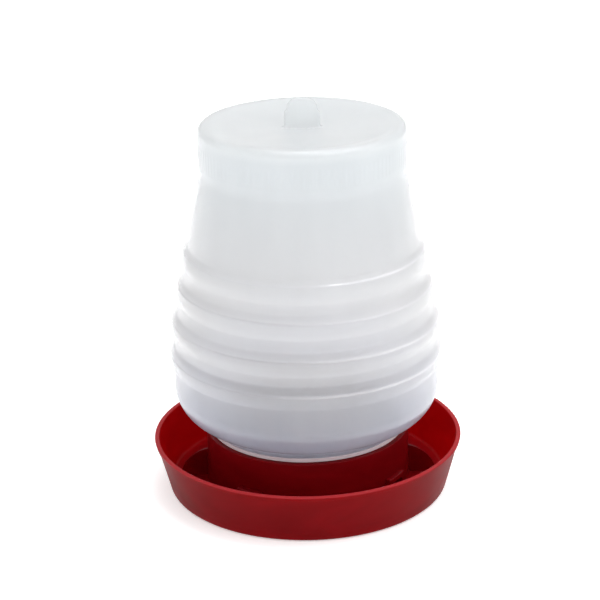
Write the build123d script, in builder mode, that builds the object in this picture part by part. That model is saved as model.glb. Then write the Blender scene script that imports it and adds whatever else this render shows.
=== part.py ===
from build123d import *
import os
from math import atan2, cos, radians, sin, tan

# Poultry waterer fount: a bottle that stands mouth down in a drinking tray.
# Millimetres, +Z up. The origin is the centre of the foot ring, on the plane the tray stands on.
# +X and -X run through the two fins and along the hanging lug, and -Y is the front.

# ---- Drinking tray -------------------------------------------------------------------------
RIM_RADIUS = 115.0            # outside of the rim, the widest part of the object
RIM_HEIGHT = 40.0
RIM_WIDTH = 3.4               # the flat top of the outer wall
RIM_EDGE_ROUND = 0.7
LIP_HEIGHT = 3.2              # a narrow band stands proud round the outside of the rim
LIP_PROUD = 0.8
LIP_UNDER_ROUND = 0.3
FOOT_RADIUS = 103.7           # outside of the wall at the foot
TRAY_WALL = 2.6               # the floor and the hub
OUTER_WALL = 1.8
FOOT_ROUND = 4.0              # outside edge between wall and foot ring
TROUGH_ROUND = 3.0            # inside corner between floor and wall
FOOT_RING_WIDTH = 7.0
FOOT_RECESS = 2.0             # the floor is raised this much inside the foot ring
FLOOR_TOP = FOOT_RECESS + TRAY_WALL

# ---- Hub in the middle of the tray ---------------------------------------------------------
HUB_RADIUS = 75.6
HUB_TOP = 47.2
CHAMBER_RADIUS = HUB_RADIUS - TRAY_WALL
COLLAR_BORE_RADIUS = 70.4     # the hub's wall is thicker inside its upper part, which carries the thread
COLLAR_BORE_BOTTOM = 32.9
HUB_EDGE_ROUND = 0.8
HUB_FOOT_ROUND = 3.0

# Outlet hoods: small bosses on the hub, each over a window that lets the water into the trough
OUTLET_COUNT = 4
OUTLET_FIRST_ANGLE = -124.0   # seen from above, counted from +X; the others follow at equal steps
HOOD_WIDTH = 20.0
HOOD_DEPTH = 3.6
HOOD_TOP = 22.0
HOOD_ROUND = 1.2
WINDOW_WIDTH = 15.0
WINDOW_TOP = 18.5             # sets the water level in the trough
WINDOW_ROUND = 3.0

# Two fins stiffen the hub, one on each side
FIN_THICKNESS = 2.4
FIN_TOP = 26.5
FIN_REACH = 97.0
FIN_BULGE = 4.6               # how far the fin's edge stands proud of its chord

# ---- Reservoir jar -------------------------------------------------------------------------
JAR_WALL = 1.8
MOUTH_HEIGHT = 26.0           # the jar's mouth, inside the hub
NECK_RADIUS = 68.4
RING_THICKNESS = 3.0          # the soft ring between the hub's rim and the jar's bead
BEAD_BOTTOM = HUB_TOP + RING_THICKNESS
BEAD_RADIUS = 72.4
BEAD_TOP = 53.4
BELLY_RADIUS = 97.8
BELLY_BOTTOM = 82.4           # top of the rounded shoulder
SHOULDER_ROUND = 26.4
CREASE_RADIUS = BELLY_RADIUS - SHOULDER_ROUND
CREASE_HEIGHT = BELLY_BOTTOM - SHOULDER_ROUND

# The body tapers in straight stretches from the belly to the waist
TAPER = [(BELLY_RADIUS, 97.0), (96.2, 131.0), (74.3, 245.0)]
HOOP_HEIGHTS = [107.6, 132.0, 158.0, 182.6]
HOOP_SPAN = 17.0              # height of each low, rounded hoop
HOOP_PROUD = 2.7
HOOP_FILLET = 2.0

HEAD_RADIUS = 74.8            # the straight cylinder above the waist
HEAD_BOTTOM = 251.0
TOP_HEIGHT = 279.4            # crest of the rim round the top
TOP_ROUND = 5.0
DISH_RADIUS = 66.0            # inside the rim the top is dished, with a flat floor in the middle
DISH_FLOOR_RADIUS = 20.0
DISH_DEPTH = 3.0

# Hanging lug, a flat tongue on a slightly wider foot, that stands in the middle of the dished top
LUG_WIDTH = 21.6
LUG_BASE = TOP_HEIGHT - DISH_DEPTH
LUG_HEIGHT = 21.6
LUG_CORNER_ROUND = 8.5
LUG_THICKNESS = 6.0
LUG_FOOT_WIDTH = 25.2
LUG_FOOT_HEIGHT = 12.0
LUG_EDGE_ROUND = 1.6
LUG_ROOT = 1.0                # how deep the lug is sunk into the dish's floor

# ---- Screw thread between jar and hub ------------------------------------------------------
THREAD_PITCH = 8.0
THREAD_DEPTH = 1.5
THREAD_ROOT_WIDTH = 3.2
THREAD_CREST_WIDTH = 1.8
THREAD_SUNK = 0.4             # how far a thread's root is buried in the wall that carries it
JAR_THREAD_START = 34.3
JAR_THREAD_TURNS = 1.25
HUB_THREAD_START = JAR_THREAD_START + THREAD_PITCH / 2
HUB_THREAD_TURNS = 0.85

# ---- Seal ring -----------------------------------------------------------------------------
RING_BORE_RADIUS = NECK_RADIUS + 0.3
RING_RADIUS = 72.6
RING_EDGE_ROUND = 0.6


def taper_radius(height):
    """Radius of the plain tapering wall at this height, between the hoops."""
    for (low_radius, low), (high_radius, high) in zip(TAPER, TAPER[1:]):
        if low <= height <= high:
            return low_radius + (high_radius - low_radius) * (height - low) / (high - low)
    raise ValueError("height is outside the taper")


def rounded_face(corners):
    """A face in the current sketch from (x, y, rounding) corners, where 0 keeps the corner sharp."""
    with BuildLine() as outline:
        Polyline([(x, y) for x, y, rounding in corners], close=True)
    make_face(outline.edges())
    for x, y, rounding in corners:
        if rounding > 0:
            fillet(vertices().sort_by_distance((x, y))[0], rounding)


def thread_ridge(wall_radius, outwards, start, turns):
    """A right-handed thread ridge in the current part, on a wall of this radius; outwards is 1 or -1."""
    root = wall_radius - outwards * THREAD_SUNK
    crest = wall_radius + outwards * THREAD_DEPTH
    with BuildLine() as path:
        Helix(THREAD_PITCH, THREAD_PITCH * turns, wall_radius, center=(0, 0, start))
    with BuildSketch(Plane.XZ) as section:
        with BuildLine():
            Polyline(
                (root, start - THREAD_ROOT_WIDTH / 2),
                (crest, start - THREAD_CREST_WIDTH / 2),
                (crest, start + THREAD_CREST_WIDTH / 2),
                (root, start + THREAD_ROOT_WIDTH / 2),
                close=True,
            )
        make_face()
    sweep(section.sketch, path=path.line, is_frenet=True)


os.makedirs("parts", exist_ok=True)

# ---- Drinking tray: pan, hub, outlet hoods and fins in one moulding --------------------------
wall_lean = atan2(RIM_RADIUS - LIP_PROUD - FOOT_RADIUS, RIM_HEIGHT)
wall_foot_inside = FOOT_RADIUS + FLOOR_TOP * tan(wall_lean) - OUTER_WALL / cos(wall_lean)
lip_bottom = RIM_HEIGHT - LIP_HEIGHT
lip_bottom_radius = RIM_RADIUS - LIP_HEIGHT * tan(wall_lean)

with BuildPart() as drinking_tray:
    with BuildSketch(Plane.XZ):
        rounded_face([
            (0, FOOT_RECESS, 0),
            (FOOT_RADIUS - FOOT_RING_WIDTH - FOOT_RECESS, FOOT_RECESS, 0),
            (FOOT_RADIUS - FOOT_RING_WIDTH, 0, 0),
            (FOOT_RADIUS, 0, FOOT_ROUND),
            (lip_bottom_radius - LIP_PROUD, lip_bottom, 0),
            (lip_bottom_radius, lip_bottom, LIP_UNDER_ROUND),
            (RIM_RADIUS, RIM_HEIGHT, RIM_EDGE_ROUND),
            (RIM_RADIUS - RIM_WIDTH, RIM_HEIGHT, RIM_EDGE_ROUND),
            (wall_foot_inside, FLOOR_TOP, TROUGH_ROUND),
            (HUB_RADIUS, FLOOR_TOP, HUB_FOOT_ROUND),
            (HUB_RADIUS, HUB_TOP, HUB_EDGE_ROUND),
            (COLLAR_BORE_RADIUS, HUB_TOP, HUB_EDGE_ROUND),
            (COLLAR_BORE_RADIUS, COLLAR_BORE_BOTTOM, 0),
            (CHAMBER_RADIUS, COLLAR_BORE_BOTTOM, 0),
            (CHAMBER_RADIUS, FLOOR_TOP, HUB_FOOT_ROUND),
            (0, FLOOR_TOP, 0),
        ])
    revolve(axis=Axis.Z)

    # Outlet hoods, sunk half way into the hub's wall
    with BuildSketch(Plane.XY.offset(FLOOR_TOP - TRAY_WALL / 2)):
        with PolarLocations(HUB_RADIUS, OUTLET_COUNT, start_angle=OUTLET_FIRST_ANGLE):
            Rectangle(4 * HOOD_DEPTH, HOOD_WIDTH)
        Circle(HUB_RADIUS + HOOD_DEPTH, mode=Mode.INTERSECT)
        Circle(HUB_RADIUS - TRAY_WALL / 2, mode=Mode.SUBTRACT)
    extrude(amount=HOOD_TOP - FLOOR_TOP + TRAY_WALL / 2)
    hood_tops = faces().filter_by(Plane.XY).filter_by_position(Axis.Z, HOOD_TOP - 0.1, HOOD_TOP + 0.1)
    hood_rims = hood_tops.edges().filter_by(GeomType.CIRCLE).sort_by(SortBy.RADIUS)[-OUTLET_COUNT:]
    fillet(hood_rims, HOOD_ROUND)

    # Outlet windows, cut outwards through the hub's wall and its hood, level with the floor
    for index in range(OUTLET_COUNT):
        angle = radians(OUTLET_FIRST_ANGLE + index * 360 / OUTLET_COUNT)
        outwards = Vector(cos(angle), sin(angle), 0)
        sideways = Vector(0, 0, 1).cross(outwards)
        inside_wall = outwards * (CHAMBER_RADIUS - HOOD_DEPTH)
        with BuildSketch(Plane(origin=inside_wall, x_dir=sideways, z_dir=outwards)):
            rounded_face([
                (-WINDOW_WIDTH / 2, FLOOR_TOP, 0),
                (WINDOW_WIDTH / 2, FLOOR_TOP, 0),
                (WINDOW_WIDTH / 2, WINDOW_TOP, WINDOW_ROUND),
                (-WINDOW_WIDTH / 2, WINDOW_TOP, WINDOW_ROUND),
            ])
        extrude(amount=4 * HOOD_DEPTH, mode=Mode.SUBTRACT)

    # Fins on the hub, one each side, with a convex upper edge that runs down to the floor
    chord_middle = Vector((HUB_RADIUS + FIN_REACH) / 2, (FIN_TOP + FLOOR_TOP) / 2)
    chord_normal = Vector(FIN_TOP - FLOOR_TOP, FIN_REACH - HUB_RADIUS).normalized()
    crown = chord_middle + chord_normal * FIN_BULGE
    fin_root = HUB_RADIUS - TRAY_WALL / 2
    fin_foot = FLOOR_TOP - TRAY_WALL / 2
    with BuildSketch(Plane.XZ):
        with BuildLine():
            ThreePointArc((HUB_RADIUS, FIN_TOP), (crown.X, crown.Y), (FIN_REACH, FLOOR_TOP))
            Polyline(
                (FIN_REACH, FLOOR_TOP),
                (FIN_REACH, fin_foot),
                (fin_root, fin_foot),
                (fin_root, FIN_TOP),
                (HUB_RADIUS, FIN_TOP),
            )
        make_face()
        mirror(about=Plane.YZ)
    extrude(amount=FIN_THICKNESS / 2, both=True)

    thread_ridge(COLLAR_BORE_RADIUS, -1, HUB_THREAD_START, HUB_THREAD_TURNS)

drinking_tray.part.label = "drinking_tray"
export_step(drinking_tray.part, "parts/drinking_tray.step")

# ---- Reservoir jar: threaded neck, bead, rounded shoulder, hooped body and hanging lug --------
with BuildPart() as reservoir_jar:
    with BuildSketch(Plane.XZ) as jar_section:
        with BuildLine() as outline:
            Polyline(
                (0, MOUTH_HEIGHT),
                (NECK_RADIUS, MOUTH_HEIGHT),
                (NECK_RADIUS, BEAD_BOTTOM),
                (BEAD_RADIUS, BEAD_BOTTOM),
                (BEAD_RADIUS, BEAD_TOP),
                (CREASE_RADIUS, CREASE_HEIGHT),
            )
            CenterArc((CREASE_RADIUS, BELLY_BOTTOM), SHOULDER_ROUND, start_angle=270, arc_size=90)
            Line((BELLY_RADIUS, BELLY_BOTTOM), TAPER[0])
            Polyline(
                *TAPER,
                (HEAD_RADIUS, HEAD_BOTTOM),
                (HEAD_RADIUS, TOP_HEIGHT),
                (DISH_RADIUS, TOP_HEIGHT),
            )
            TangentArc(
                (DISH_FLOOR_RADIUS, LUG_BASE),
                (DISH_RADIUS, TOP_HEIGHT),
                tangent=(1, 0),
            )
            Polyline((DISH_FLOOR_RADIUS, LUG_BASE), (0, LUG_BASE), (0, MOUTH_HEIGHT))
        make_face()
        for height in HOOP_HEIGHTS:
            low, high = height - HOOP_SPAN / 2, height + HOOP_SPAN / 2
            with BuildLine():
                ThreePointArc(
                    (taper_radius(low), low),
                    (taper_radius(height) + HOOP_PROUD, height),
                    (taper_radius(high), high),
                )
                Polyline(
                    (taper_radius(high), high),
                    (taper_radius(high) - JAR_WALL, high),
                    (taper_radius(low) - JAR_WALL, low),
                    (taper_radius(low), low),
                )
            make_face()
            for end in (low, high):
                fillet(vertices().sort_by_distance((taper_radius(end), end))[0], HOOP_FILLET)
        fillet(vertices().sort_by_distance((HEAD_RADIUS, TOP_HEIGHT))[0], TOP_ROUND)
        offset(amount=-JAR_WALL, mode=Mode.SUBTRACT)
        with Locations((0, MOUTH_HEIGHT)):
            Rectangle(JAR_WALL, LUG_BASE - MOUTH_HEIGHT - JAR_WALL, align=Align.MIN, mode=Mode.SUBTRACT)
            Rectangle(NECK_RADIUS - JAR_WALL, JAR_WALL, align=Align.MIN, mode=Mode.SUBTRACT)
    revolve(axis=Axis.Z)

    # The lug's root is sunk into the dish's floor
    with BuildSketch(Plane.XZ.offset(-LUG_THICKNESS / 2)):
        rounded_face([
            (-LUG_WIDTH / 2, LUG_BASE - LUG_ROOT, 0),
            (LUG_WIDTH / 2, LUG_BASE - LUG_ROOT, 0),
            (LUG_WIDTH / 2, LUG_BASE + LUG_HEIGHT, LUG_CORNER_ROUND),
            (-LUG_WIDTH / 2, LUG_BASE + LUG_HEIGHT, LUG_CORNER_ROUND),
        ])
        with Locations((0, LUG_BASE - LUG_ROOT)):
            Rectangle(LUG_FOOT_WIDTH, LUG_FOOT_HEIGHT + LUG_ROOT, align=(Align.CENTER, Align.MIN))
    extrude(amount=LUG_THICKNESS)
    lug_faces = faces().filter_by(Plane.XZ).filter_by_position(Axis.Z, LUG_BASE, LUG_BASE + LUG_HEIGHT)
    lug_rims = lug_faces.edges().filter_by_position(Axis.Z, LUG_BASE + 1, LUG_BASE + LUG_HEIGHT)
    fillet(lug_rims, LUG_EDGE_ROUND)

    thread_ridge(NECK_RADIUS, 1, JAR_THREAD_START, JAR_THREAD_TURNS)

reservoir_jar.part.label = "reservoir_jar"
export_step(reservoir_jar.part, "parts/reservoir_jar.step")

# ---- Seal ring --------------------------------------------------------------------------------
with BuildPart() as seal_ring:
    with BuildSketch(Plane.XZ):
        rounded_face([
            (RING_BORE_RADIUS, HUB_TOP, 0),
            (RING_RADIUS, HUB_TOP, RING_EDGE_ROUND),
            (RING_RADIUS, BEAD_BOTTOM, RING_EDGE_ROUND),
            (RING_BORE_RADIUS, BEAD_BOTTOM, 0),
        ])
    revolve(axis=Axis.Z)

seal_ring.part.label = "seal_ring"
export_step(seal_ring.part, "parts/seal_ring.step")
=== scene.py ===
import math

import bpy
from mathutils import Matrix, Vector
from mathutils.noise import noise


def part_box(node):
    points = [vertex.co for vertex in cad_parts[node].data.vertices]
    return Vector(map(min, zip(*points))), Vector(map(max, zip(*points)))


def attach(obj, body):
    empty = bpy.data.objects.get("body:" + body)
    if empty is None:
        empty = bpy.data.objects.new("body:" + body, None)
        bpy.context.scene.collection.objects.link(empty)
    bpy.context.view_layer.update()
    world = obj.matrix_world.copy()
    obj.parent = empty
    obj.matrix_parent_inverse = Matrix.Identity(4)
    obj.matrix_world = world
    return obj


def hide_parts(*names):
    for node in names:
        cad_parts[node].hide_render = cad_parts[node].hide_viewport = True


# Visual model of a poultry waterer fount: a milky blow-moulded jar that stands mouth down in a red
# drinking tray. In the CAD model's frame: +Z up, the tray stands on z = 0, -Y is the front. Shapes are
# worked out in millimetres, as in the CAD model, and made into meshes in metres.

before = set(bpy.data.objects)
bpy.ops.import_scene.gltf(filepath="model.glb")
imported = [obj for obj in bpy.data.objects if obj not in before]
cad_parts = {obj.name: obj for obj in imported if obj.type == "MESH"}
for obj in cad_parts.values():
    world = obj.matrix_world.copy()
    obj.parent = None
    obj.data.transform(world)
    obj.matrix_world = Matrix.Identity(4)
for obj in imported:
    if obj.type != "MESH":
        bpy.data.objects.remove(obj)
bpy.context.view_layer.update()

MM = 0.001


def node_box(node):
    """A CAD node's lowest and highest corners at rest, in millimetres."""
    low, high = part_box(node)
    return [value / MM for value in low], [value / MM for value in high]


(_, _, jar_mouth), (_, _, jar_top) = node_box("reservoir_jar")
_, (_, _, ring_top) = node_box("seal_ring")


# ---- Node helpers ---------------------------------------------------------------------------

class Shader:
    """A new node material with its Principled shader, and short calls to add nodes to it."""

    def __init__(self, name):
        self.material = bpy.data.materials.new(name)
        self.material.use_nodes = True
        self.tree = self.material.node_tree
        self.principled = self.tree.nodes["Principled BSDF"]
        self.position = self.node("ShaderNodeTexCoord").outputs["Object"]

    def node(self, kind, **settings):
        made = self.tree.nodes.new(kind)
        for name, value in settings.items():
            setattr(made, name, value)
        return made

    def link(self, source, target):
        self.tree.links.new(source, target)

    def set(self, **values):
        for name, value in values.items():
            self.principled.inputs[name.replace("_", " ")].default_value = value

    def drive(self, name, source):
        self.link(source, self.principled.inputs[name])

    def along(self, axis):
        """The point's place along the X, Y or Z axis, in metres."""
        split = self.node("ShaderNodeSeparateXYZ")
        self.link(self.position, split.inputs["Vector"])
        return split.outputs[axis]

    def height(self):
        """The point's height over the floor at rest, in metres."""
        return self.along("Z")

    def radius(self):
        """The point's distance from the Z axis, in metres."""
        across = self.math("POWER", self.along("X"), 2)
        return self.math("SQRT", self.math("ADD", across, self.math("POWER", self.along("Y"), 2)), 0)

    def noise(self, scale, detail=2.0, stretch=(1, 1, 1), distortion=0.0):
        """Noise from the position, with scale in features per metre."""
        mapping = self.node("ShaderNodeMapping")
        mapping.inputs["Scale"].default_value = stretch
        self.link(self.position, mapping.inputs["Vector"])
        texture = self.node("ShaderNodeTexNoise")
        texture.inputs["Scale"].default_value = scale
        texture.inputs["Detail"].default_value = detail
        texture.inputs["Distortion"].default_value = distortion
        self.link(mapping.outputs["Vector"], texture.inputs["Vector"])
        return texture.outputs["Fac"]

    def remap(self, value, low, high, to_low, to_high):
        remap = self.node("ShaderNodeMapRange", clamp=True)
        remap.inputs["From Min"].default_value = low
        remap.inputs["From Max"].default_value = high
        remap.inputs["To Min"].default_value = to_low
        remap.inputs["To Max"].default_value = to_high
        self.link(value, remap.inputs["Value"])
        return remap.outputs["Result"]

    def rise(self, value, span, start=0.0, end=1.0):
        """Goes from start to end as the value, in metres, crosses this span, in millimetres."""
        return self.remap(value, span[0] * MM, span[1] * MM, start, end)

    def mix_colour(self, factor, first, second):
        mix = self.node("ShaderNodeMix", data_type="RGBA")
        for socket, value in (("A", first), ("B", second)):
            target = next(s for s in mix.inputs if s.name == socket and s.type == "RGBA")
            if isinstance(value, tuple):
                target.default_value = value
            else:
                self.link(value, target)
        self.link(factor, mix.inputs["Factor"])
        return next(s for s in mix.outputs if s.type == "RGBA")

    def math(self, operation, first, second):
        made = self.node("ShaderNodeMath", operation=operation)
        for socket, value in zip(made.inputs, (first, second)):
            if isinstance(value, (int, float)):
                socket.default_value = value
            else:
                self.link(value, socket)
        return made.outputs["Value"]

    def bump(self, height, distance, strength=1.0):
        bump = self.node("ShaderNodeBump")
        bump.inputs["Distance"].default_value = distance
        bump.inputs["Strength"].default_value = strength
        self.link(height, bump.inputs["Height"])
        self.link(bump.outputs["Normal"], self.principled.inputs["Normal"])

    def let_light_through(self, share, colour):
        """Mixes in a Translucent shader, so that this share of the light passes through, scattered."""
        translucent = self.node("ShaderNodeBsdfTranslucent")
        self.link(colour, translucent.inputs["Color"])
        mix = self.node("ShaderNodeMixShader")
        if isinstance(share, float):
            mix.inputs["Fac"].default_value = share
        else:
            self.link(share, mix.inputs["Fac"])
        self.link(self.principled.outputs["BSDF"], mix.inputs[1])
        self.link(translucent.outputs["BSDF"], mix.inputs[2])
        output = self.tree.nodes["Material Output"]
        self.link(mix.outputs["Shader"], output.inputs["Surface"])


# ---- Materials, with their heights, radii and widths in millimetres ---------------------------

HIGHLIGHT_CORE = 0.3                # half width of a painted highlight line on a hoop step, at its whitest
HIGHLIGHT_EDGE = 1.1                # half width of the whole line
HIGHLIGHT_REACH = 60.0              # from this far left to this far right the painted highlight grows, as if lit from the right
SHOULDER_SHADE_SPAN = (70.0, 120.0) # heights over which the painted shade on the shoulder, darker and bluish, runs into the waist
HEAD_TINT = (170.0, 260.0)    # and the waist into the head
TOP_LIGHT_SPAN = (270.0, 275.0)     # and the head into the top, which is painted lighter as painted light from above
RIM_HIGHLIGHT = (-1.2, -0.4)       # heights from the tray's rim over which a painted highlight turns it pale
WALL_START = (100.0, 105.0)   # radii over which the hub and floor give way to the outer wall
GLOW_START = (85.0, 100.0)    # radii over which the plastic starts to let more light through
TRAY_RIM_HEIGHT = 40.0


def painted_step_highlights(shader, height):
    """Where a painted highlight line runs along the steps round the hoops, from 0 to 1; it is strongest on
    the right side.
    """
    line = 0.0
    for step in STEP_HEIGHTS:
        away = shader.math("ABSOLUTE", shader.math("SUBTRACT", height, (step - STEP_FALL / 2) * MM), 0)
        line = shader.math("MAXIMUM", shader.remap(away, HIGHLIGHT_CORE * MM, HIGHLIGHT_EDGE * MM, 1.0, 0.0), line)
    side = shader.remap(shader.along("X"), -HIGHLIGHT_REACH * MM, HIGHLIGHT_REACH * MM, 0.15, 1.0)
    patchy = shader.remap(shader.noise(9.0), 0.35, 0.6, 0.4, 1.0)
    return shader.math("MULTIPLY", shader.math("MULTIPLY", line, side), patchy)


def jar_plastic():
    """Milky polyethylene: satin skin, faint clouds and vertical streaks where the wall is thicker, painted
    shade on the shoulder, painted light on the top and painted highlight lines along the hoop steps.
    """
    shader = Shader("milky_polyethylene")
    cloud = shader.noise(11.0, 3.0, (1, 1, 0.6))
    streak = shader.noise(70.0, 3.0, (1, 1, 0.06))
    uneven = shader.math("ADD", shader.math("MULTIPLY", cloud, 0.7), shader.math("MULTIPLY", streak, 0.3))
    thin = shader.remap(uneven, 0.35, 0.65, 0.0, 1.0)
    height = shader.height()
    # Colour by height: the shoulder is painted darker and bluish as painted shade, and the top is painted
    # lighter as painted light from above
    waist = shader.mix_colour(thin, (0.88, 0.88, 0.885, 1), (0.93, 0.93, 0.935, 1))
    head = shader.mix_colour(thin, (0.855, 0.885, 0.90, 1), (0.91, 0.935, 0.95, 1))
    top = shader.mix_colour(thin, (0.93, 0.955, 0.965, 1), (0.97, 0.985, 0.99, 1))
    shoulder = shader.mix_colour(thin, (0.70, 0.73, 0.82, 1), (0.77, 0.795, 0.87, 1))
    colour = shader.mix_colour(shader.rise(height, HEAD_TINT), waist, head)
    colour = shader.mix_colour(shader.rise(height, TOP_LIGHT_SPAN), colour, top)
    colour = shader.mix_colour(shader.rise(height, SHOULDER_SHADE_SPAN), shoulder, colour)
    # Painted highlight: a thin near-white line along each hoop step, strongest on the right, where the
    # plastic also lets less light through so that it reads whiter
    line = painted_step_highlights(shader, height)
    colour = shader.mix_colour(line, colour, (0.98, 0.98, 1.0, 1))
    shader.drive("Base Color", colour)
    shader.drive("Roughness", shader.remap(shader.noise(60.0, 4.0), 0.3, 0.7, 0.30, 0.36))
    shader.drive("Transmission Weight", shader.remap(line, 0.0, 1.0, 0.85, 0.45))
    shader.set(IOR=1.5, Coat_Weight=0.8, Coat_Roughness=0.07)
    shader.bump(shader.noise(500.0, 2.0), 0.00002, 0.3)
    shader.let_light_through(0.25, colour)
    return shader.material


def tray_plastic():
    """Red injection-moulded polypropylene: soft gloss, faint flow marks, a glowing wall, a painted
    highlight along the rim.
    """
    shader = Shader("red_polypropylene")
    flow = shader.noise(14.0, 4.0, (1, 1, 3), 1.5)
    streak = shader.remap(flow, 0.35, 0.7, 0.0, 1.0)
    colour = shader.mix_colour(streak, (0.16, 0.0009, 0.0030, 1), (0.20, 0.0017, 0.0045, 1))
    glow = shader.mix_colour(streak, (0.75, 0.0020, 0.0160, 1), (0.85, 0.0040, 0.0220, 1))
    # Painted highlight: the top of the outer rim is painted paler, in place of the light that the lip
    # catches
    rim_highlight_span = [TRAY_RIM_HEIGHT + offset for offset in RIM_HIGHLIGHT]
    rim = shader.rise(shader.height(), rim_highlight_span, end=0.8)
    rim = shader.math("MULTIPLY", rim, shader.rise(shader.radius(), WALL_START))
    colour = shader.mix_colour(rim, colour, (0.50, 0.05, 0.06, 1))
    shader.drive("Base Color", colour)
    shader.drive("Roughness", shader.remap(shader.noise(45.0, 5.0), 0.3, 0.7, 0.30, 0.40))
    shader.set(IOR=1.49, Specular_IOR_Level=0.09)
    shader.bump(shader.noise(420.0, 2.0), 0.00005, 0.2)
    shader.let_light_through(shader.rise(shader.radius(), GLOW_START, 0.12, 0.43), glow)
    return shader.material


def ring_rubber():
    """Greyish silicone rubber."""
    shader = Shader("grey_silicone")
    colour = shader.mix_colour(shader.noise(80.0, 3.0), (0.58, 0.49, 0.51, 1), (0.66, 0.56, 0.58, 1))
    shader.drive("Base Color", colour)
    shader.drive("Roughness", shader.remap(shader.noise(150.0, 2.0), 0.3, 0.7, 0.5, 0.65))
    return shader.material


def floor_paper():
    """White paper that glows a little, so that the object throws only a faint shadow on it."""
    shader = Shader("floor_paper")
    colour = shader.mix_colour(shader.noise(2.0), (0.93, 0.93, 0.93, 1), (0.95, 0.95, 0.95, 1))
    shader.drive("Base Color", colour)
    shader.set(Roughness=0.9, Specular_IOR_Level=0.1, Emission_Color=(1, 1, 1, 1), Emission_Strength=0.35)
    return shader.material


def paint(thing, material):
    """Gives an object this one material, in every slot it has."""
    if not thing.material_slots:
        thing.data.materials.append(material)
    for slot in thing.material_slots:
        slot.material = material


# ---- Mesh helpers ---------------------------------------------------------------------------

def make_piece(name, points, faces):
    """A smooth-shaded object from points in millimetres."""
    mesh = bpy.data.meshes.new(name)
    mesh.from_pydata([Vector(point) * MM for point in points], [], faces)
    mesh.validate()
    mesh.shade_smooth()
    piece = bpy.data.objects.new(name, mesh)
    bpy.context.scene.collection.objects.link(piece)
    return piece


def ring_band(first, second, count):
    """The quads between two rings of points, which start at these indices."""
    return [
        (first + step, first + (step + 1) % count, second + (step + 1) % count, second + step)
        for step in range(count)
    ]


def arc(centre, radius, start, end, steps):
    """Points (across, up) along an arc, with the angles in degrees from the across axis."""
    turns = [math.radians(start + (end - start) * step / steps) for step in range(steps + 1)]
    return [(centre[0] + radius * math.cos(turn), centre[1] + radius * math.sin(turn)) for turn in turns]


def spread(low, high, step):
    """Values from low towards high, without high itself, about this far apart. A step down is negative."""
    count = max(1, round((high - low) / step))
    return [low + (high - low) * index / count for index in range(count)]


# ---- Reservoir jar ----------------------------------------------------------------------------

JAR_WALL = 1.8
NECK_RADIUS = 68.4
MOUTH_CHAMFER = 0.4
BEAD_RADIUS = 72.4
BEAD_HEIGHT = 3.2
BEAD_ROUND = 0.8
SEAL_GAP = 0.05               # keeps the bead just clear of the ring that it turns on
CREASE_RADIUS = 71.4          # where the bead runs into the rounded shoulder
SHOULDER_ROUND = 26.4
BELLY_BOTTOM = 82.4           # top of the rounded shoulder
TAPER = [(97.8, 97.0), (96.2, 131.0), (74.3, 245.0)]
HOOP_HEIGHTS = [107.6, 132.0, 158.0, 182.6]
HOOP_SPAN = 17.0
HOOP_PROUD = 2.4
HOOP_BLEND = 0.6              # how softly a hoop runs into the wall
STEP_HEIGHTS = [109.8, 135.3, 161.9, 188.0]
STEP_PROUD = 0.4              # a fine step runs round each hoop, a little above its crest
STEP_FALL = 1.0               # height in which the step comes out of the wall
STEP_FADE = 6.0               # height below it in which it dies away
HEAD_RADIUS = 74.8
HEAD_BOTTOM = 251.0
LUG_HEIGHT = 21.6
LUG_BASE = jar_top - LUG_HEIGHT
TOP_ROUND = 5.0
DISH_RADIUS = 66.0            # inside the rim the top is dished, with a flat floor in the middle
DISH_FLOOR_RADIUS = 20.0
DISH_DEPTH = 3.0
TOP_HEIGHT = LUG_BASE + DISH_DEPTH

FLUTES = 112                  # fine upright grip ribs round the head
FLUTE_LOW = 252.0
FLUTE_HIGH = 268.0
FLUTE_DEPTH = 0.3
FLUTE_FADE = 2.0
AROUND = 4 * FLUTES           # points round the jar

PARTING_PROUD = 0.1           # the mould's parting line, in the lug's plane
WAVINESS = 0.12               # blown plastic is never quite true
WAVE_LENGTH = 26.0

THREAD_PITCH = 8.0
THREAD_DEPTH = 1.5
THREAD_ROOT_WIDTH = 3.2
THREAD_CREST_WIDTH = 1.8
JAR_THREAD_START = 34.3
JAR_THREAD_TURNS = 1.25
THREAD_FADE = 0.04            # turns over which a thread rises from the wall at its ends


def wall_radius(height):
    """Outside radius of the tapering body at this height, hoops included."""
    points = [(TAPER[0][0], BELLY_BOTTOM), *TAPER, (HEAD_RADIUS, HEAD_BOTTOM)]
    for (low_radius, low), (high_radius, high) in zip(points, points[1:]):
        if height <= high:
            plain = low_radius + (high_radius - low_radius) * (height - low) / (high - low)
            break
    bend = ((HOOP_SPAN / 2) ** 2 + HOOP_PROUD ** 2) / (2 * HOOP_PROUD)
    away = min(abs(height - hoop) for hoop in HOOP_HEIGHTS)
    arch = math.sqrt(max(bend ** 2 - away ** 2, 0)) - (bend - HOOP_PROUD) if away < bend else -bend
    relief = 0.0
    for step in STEP_HEIGHTS:
        below = step - height
        if 0 < below < STEP_FALL:
            relief = STEP_PROUD * below / STEP_FALL
        elif STEP_FALL <= below < STEP_FALL + STEP_FADE:
            relief = STEP_PROUD * (1 - (below - STEP_FALL) / STEP_FADE) ** 2
    return plain + (arch + math.sqrt(arch ** 2 + HOOP_BLEND ** 2)) / 2 + relief


def dish_height(radius):
    """Height of the dished top at this radius, inside its rim."""
    across = DISH_RADIUS - DISH_FLOOR_RADIUS
    bend = (across ** 2 + DISH_DEPTH ** 2) / (2 * DISH_DEPTH)
    return LUG_BASE + bend - math.sqrt(bend ** 2 - max(0.0, radius - DISH_FLOOR_RADIUS) ** 2)


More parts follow.
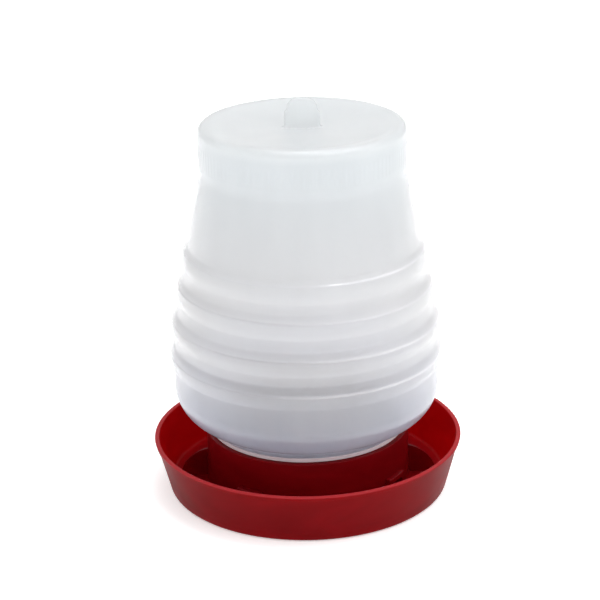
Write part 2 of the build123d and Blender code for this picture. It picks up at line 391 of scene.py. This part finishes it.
def body_heights(fine, coarse):
    """Heights up the body: finest at each step, fine across each hoop and coarse between them."""
    reach = HOOP_SPAN / 2 + 1
    heights = []
    low = BELLY_BOTTOM
    for hoop, step in zip(HOOP_HEIGHTS, STEP_HEIGHTS):
        below_step = step - STEP_FALL - 1.2
        above_step = step + 0.4
        heights += spread(low, hoop - reach, coarse)
        heights += spread(hoop - reach, below_step, 1.4 * fine)
        heights += spread(below_step, above_step, fine / 3)
        heights += spread(above_step, hoop + reach, fine)
        low = hoop + reach
    return heights + spread(low, HEAD_BOTTOM, coarse)


def jar_outside():
    """The jar's outside skin as (radius, height) rows, from the mouth to the top."""
    bead_bottom = ring_top + SEAL_GAP
    bead_top = bead_bottom + BEAD_HEIGHT
    rows = [(NECK_RADIUS - MOUTH_CHAMFER, jar_mouth), (NECK_RADIUS, jar_mouth + MOUTH_CHAMFER)]
    rows += [(NECK_RADIUS, height) for height in spread(jar_mouth + 3, bead_bottom - 0.3, 0.5)]
    rows.append((NECK_RADIUS, bead_bottom))
    low_corner = (BEAD_RADIUS - BEAD_ROUND, bead_bottom + BEAD_ROUND)
    high_corner = (BEAD_RADIUS - BEAD_ROUND, bead_top - BEAD_ROUND)
    rows += arc(low_corner, BEAD_ROUND, -90, 0, steps=5)
    rows += arc(high_corner, BEAD_ROUND, 0, 60, steps=4)
    rows += arc((CREASE_RADIUS, BELLY_BOTTOM), SHOULDER_ROUND, -90, 0, steps=36)[:-1]
    rows += [(wall_radius(height), height) for height in body_heights(fine=0.8, coarse=3.0)]
    rows += [(HEAD_RADIUS, height) for height in spread(HEAD_BOTTOM, TOP_HEIGHT - TOP_ROUND, 1.0)]
    rows += arc((HEAD_RADIUS - TOP_ROUND, TOP_HEIGHT - TOP_ROUND), TOP_ROUND, 0, 90, steps=9)
    rows.append(((HEAD_RADIUS - TOP_ROUND + DISH_RADIUS) / 2, TOP_HEIGHT))
    rows += [(radius, dish_height(radius)) for radius in spread(DISH_RADIUS, 0, -2.5)]
    return rows


def jar_inside():
    """The jar's inside skin as (radius, height) rows, from the mouth to the top."""
    rows = [(NECK_RADIUS - JAR_WALL, jar_mouth + MOUTH_CHAMFER)]
    rows += [(NECK_RADIUS - JAR_WALL, height) for height in spread(jar_mouth + 2, ring_top, 3.0)]
    rows += arc((CREASE_RADIUS, BELLY_BOTTOM), SHOULDER_ROUND - JAR_WALL, -90, 0, steps=18)[:-1]
    rows += [(wall_radius(height) - JAR_WALL, height) for height in body_heights(fine=1.5, coarse=5.0)]
    low_top = TOP_HEIGHT - JAR_WALL
    low_round = TOP_ROUND - JAR_WALL
    radius = HEAD_RADIUS - JAR_WALL
    rows += [(radius, height) for height in spread(HEAD_BOTTOM, low_top - low_round, 5.0)]
    rows += arc((radius - low_round, low_top - low_round), low_round, 0, 90, steps=5)
    rows += [(across, dish_height(across) - JAR_WALL) for across in spread(DISH_RADIUS, 0, -6.0)]
    return rows


def thread_relief(angle, height, start, turns):
    """How far a right-handed thread stands out of its wall at this angle and height."""
    relief = 0.0
    for lap in range(math.ceil(turns)):
        along = angle / math.tau + lap
        if along > turns:
            continue
        away = abs(height - start - THREAD_PITCH * along)
        flank = (THREAD_ROOT_WIDTH - THREAD_CREST_WIDTH) / 2
        rise = min(1.0, max(0.0, (THREAD_ROOT_WIDTH / 2 - away) / flank))
        ends = min(1.0, along / THREAD_FADE, (turns - along) / THREAD_FADE)
        relief = max(relief, THREAD_DEPTH * rise * ends)
    return relief


def jar_relief(step, radius, height):
    """How far the outside skin stands off its plain shape at this step round the jar."""
    angle = math.tau * step / AROUND
    if height < ring_top:
        return thread_relief(angle, height, JAR_THREAD_START, JAR_THREAD_TURNS)
    place = Vector((radius * math.cos(angle), radius * math.sin(angle), height)) / WAVE_LENGTH
    relief = WAVINESS * noise(place) if height > BELLY_BOTTOM else 0.0
    if step % (AROUND // 2) == 0 and height < TOP_HEIGHT - TOP_ROUND:
        relief += PARTING_PROUD
    ribbed = min(1.0, max(0.0, (height - FLUTE_LOW) / FLUTE_FADE))
    ribbed *= min(1.0, max(0.0, (FLUTE_HIGH - height) / FLUTE_FADE))
    return relief + ribbed * FLUTE_DEPTH / 2 * (math.cos(FLUTES * angle) - 1)


def outward(rows, index):
    """Unit normal (across, up) of a profile at this row, pointing away from the jar's inside."""
    before = rows[max(index - 1, 0)]
    after = rows[min(index + 1, len(rows) - 1)]
    along = Vector((after[0] - before[0], after[1] - before[1])).normalized()
    return along.y, -along.x


def make_jar():
    """The jar: both skins turned round the axis, closed at the mouth, with the lug joined on."""
    outside = jar_outside()
    inside = jar_inside()
    turns = [math.tau * step / AROUND for step in range(AROUND)]
    circle = [(math.cos(turn), math.sin(turn)) for turn in turns]
    points = []
    for index, (radius, height) in enumerate(outside):
        across, up = outward(outside, index)
        for step, (cosine, sine) in enumerate(circle):
            relief = jar_relief(step, radius, height)
            reach = radius + across * relief
            points.append((reach * cosine, reach * sine, height + up * relief))
    for radius, height in inside:
        points += [(radius * cosine, radius * sine, height) for cosine, sine in circle]
    faces = []
    for row in range(len(outside) - 1):
        faces += ring_band(row * AROUND, (row + 1) * AROUND, AROUND)
    for row in range(len(outside), len(outside) + len(inside) - 1):
        faces += ring_band((row + 1) * AROUND, row * AROUND, AROUND)
    faces += ring_band(len(outside) * AROUND, 0, AROUND)
    outer_end = len(outside) - 1
    inner_end = len(outside) + len(inside) - 1
    for last, height, turned in ((outer_end, LUG_BASE, False), (inner_end, inside[-1][1], True)):
        pole = len(points)
        points.append((0, 0, height))
        for step in range(AROUND):
            fan = (last * AROUND + step, last * AROUND + (step + 1) % AROUND, pole)
            faces.append(fan[::-1] if turned else fan)
    jar = make_piece("milky_jar", points, faces)
    join_solid(jar, make_lug())
    return jar


# The lug: a soft tongue on a wider foot, standing in the middle of the dished top
LUG_HALF_WIDTH = 10.8
LUG_CORNER = 8.5
LUG_HALF_THICKNESS = 3.0
LUG_FOOT_HALF_WIDTH = 12.6
LUG_FOOT_HEIGHT = 12.0
LUG_SUNK = 0.9
LUG_FLARE = 1.2               # how far the foot spreads where it meets the top
LUG_FLARE_HEIGHT = 2.0
LUG_STEP_BLEND = 0.5          # how softly the tongue runs into its foot
LUG_EDGE_SHARE = 0.35         # the tip's thickness, as a share of the lug's
LUG_SQUARENESS = 0.55         # the power of the superellipse: 1 is an ellipse, 0 a rectangle
LUG_ROW_CROWDING = 1.4        # over 1, the rows crowd towards the tip
LUG_AROUND = 64
LUG_ROWS = 44


def lug_section(height):
    """Half width and half thickness of the lug at this height over the dish's floor."""
    corner_start = LUG_HEIGHT - LUG_CORNER
    over = max(0.0, min(1.0, (height - corner_start) / LUG_CORNER))
    half_width = LUG_HALF_WIDTH - LUG_CORNER * (1 - math.sqrt(1 - over ** 2))
    edge = max(0.0, min(1.0, (height - LUG_HEIGHT + LUG_HALF_THICKNESS) / LUG_HALF_THICKNESS))
    rounded = LUG_EDGE_SHARE + (1 - LUG_EDGE_SHARE) * math.sqrt(1 - edge ** 2)
    half_thickness = LUG_HALF_THICKNESS * rounded
    step = 1 / (1 + math.exp((height - LUG_FOOT_HEIGHT) / LUG_STEP_BLEND))
    half_width += (LUG_FOOT_HALF_WIDTH - LUG_HALF_WIDTH) * step
    flare = LUG_FLARE * max(0.0, 1 - max(height, 0.0) / LUG_FLARE_HEIGHT) ** 2
    return half_width + flare, half_thickness + flare


def make_lug():
    """The lug as a closed loft of rounded oblongs, each a superellipse."""
    points = []
    for row in range(LUG_ROWS + 1):
        share = row / LUG_ROWS
        height = -LUG_SUNK + (LUG_HEIGHT + LUG_SUNK) * (1 - (1 - share) ** LUG_ROW_CROWDING)
        half_width, half_thickness = lug_section(height)
        for step in range(LUG_AROUND):
            angle = math.tau * step / LUG_AROUND
            across = math.copysign(abs(math.cos(angle)) ** LUG_SQUARENESS, math.cos(angle))
            through = math.copysign(abs(math.sin(angle)) ** LUG_SQUARENESS, math.sin(angle))
            points.append((half_width * across, half_thickness * through, LUG_BASE + height))
    faces = []
    for row in range(LUG_ROWS):
        faces += ring_band(row * LUG_AROUND, (row + 1) * LUG_AROUND, LUG_AROUND)
    faces.append(tuple(reversed(range(LUG_AROUND))))
    faces.append(tuple(range(LUG_ROWS * LUG_AROUND, (LUG_ROWS + 1) * LUG_AROUND)))
    return make_piece("lug_blank", points, faces)


def join_solid(piece, other):
    """Unites a closed mesh with the piece's mesh and removes the other object."""
    union = piece.modifiers.new("union", "BOOLEAN")
    union.operation = "UNION"
    union.solver = "EXACT"
    union.object = other
    evaluated = piece.evaluated_get(bpy.context.evaluated_depsgraph_get())
    joined = bpy.data.meshes.new_from_object(evaluated)
    piece.modifiers.clear()
    piece.data = joined
    bpy.data.objects.remove(other)


# ---- Camera: a view from a little above, on a long lens ---------------------------------------

CAMERA_DISTANCE = 1.38        # along the floor, from the jar's axis
CAMERA_HEIGHT = 0.6715
CAMERA_PITCH = math.radians(20.896)
CAMERA_YAW = math.radians(0.16)
CAMERA_ROLL = math.radians(1.1)
LENS = 120.7
SENSOR = 36.0


def make_camera():
    """The scene's camera, which looks down a little and is rolled slightly."""
    data = bpy.data.cameras.new("camera")
    data.lens = LENS
    data.sensor_width = SENSOR
    data.clip_start = 0.05
    camera = bpy.data.objects.new("camera", data)
    level = Matrix.Rotation(math.pi / 2 - CAMERA_PITCH, 4, "X")
    turned = Matrix.Rotation(CAMERA_YAW, 4, "Z")
    rolled = Matrix.Rotation(-CAMERA_ROLL, 4, "Z")
    camera.matrix_world = Matrix.Translation((0, -CAMERA_DISTANCE, CAMERA_HEIGHT)) @ turned @ level @ rolled
    bpy.context.scene.collection.objects.link(camera)
    bpy.context.scene.camera = camera


# ---- Stage: pale floor and soft light ---------------------------------------------------------

def make_floor():
    """A flat square sheet on z = 0."""
    half = 3.0
    mesh = bpy.data.meshes.new("floor")
    corners = [(-half, -half, 0), (half, -half, 0), (half, half, 0), (-half, half, 0)]
    mesh.from_pydata(corners, [], [(0, 1, 2, 3)])
    floor = bpy.data.objects.new("floor", mesh)
    bpy.context.scene.collection.objects.link(floor)
    paint(floor, floor_paper())


def softbox(name, place, target, length, width, watts):
    """A rectangular softbox, its length level, that faces its target."""
    data = bpy.data.lights.new(name, "AREA")
    data.shape = "RECTANGLE"
    data.size = length
    data.size_y = width
    data.energy = watts
    light = bpy.data.objects.new(name, data)
    light.location = place
    light.rotation_euler = (Vector(target) - Vector(place)).to_track_quat("-Z", "Y").to_euler()
    bpy.context.scene.collection.objects.link(light)


def make_lights():
    """A white world with a large softbox overhead, a fill at the right and a long, narrow glint."""
    world = bpy.data.worlds.new("studio")
    world.use_nodes = True
    background = world.node_tree.nodes["Background"]
    background.inputs["Color"].default_value = (1, 1, 1, 1)
    background.inputs["Strength"].default_value = 0.98
    bpy.context.scene.world = world
    middle = (0, 0, 0.15)
    softbox("overhead", (0.2, 0.3, 1.7), middle, length=1.2, width=0.9, watts=10)
    softbox("right_fill", (1.4, -0.3, 0.7), middle, length=1.0, width=1.0, watts=2.2)
    softbox("glint", (0.7, -0.45, 1.5), middle, length=1.2, width=0.12, watts=6)
    bpy.context.scene.view_settings.view_transform = "Standard"


make_camera()
make_floor()
make_lights()

paint(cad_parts["drinking_tray"], tray_plastic())
paint(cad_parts["seal_ring"], ring_rubber())

jar = make_jar()
paint(jar, jar_plastic())
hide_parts("reservoir_jar")
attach(jar, "jar")
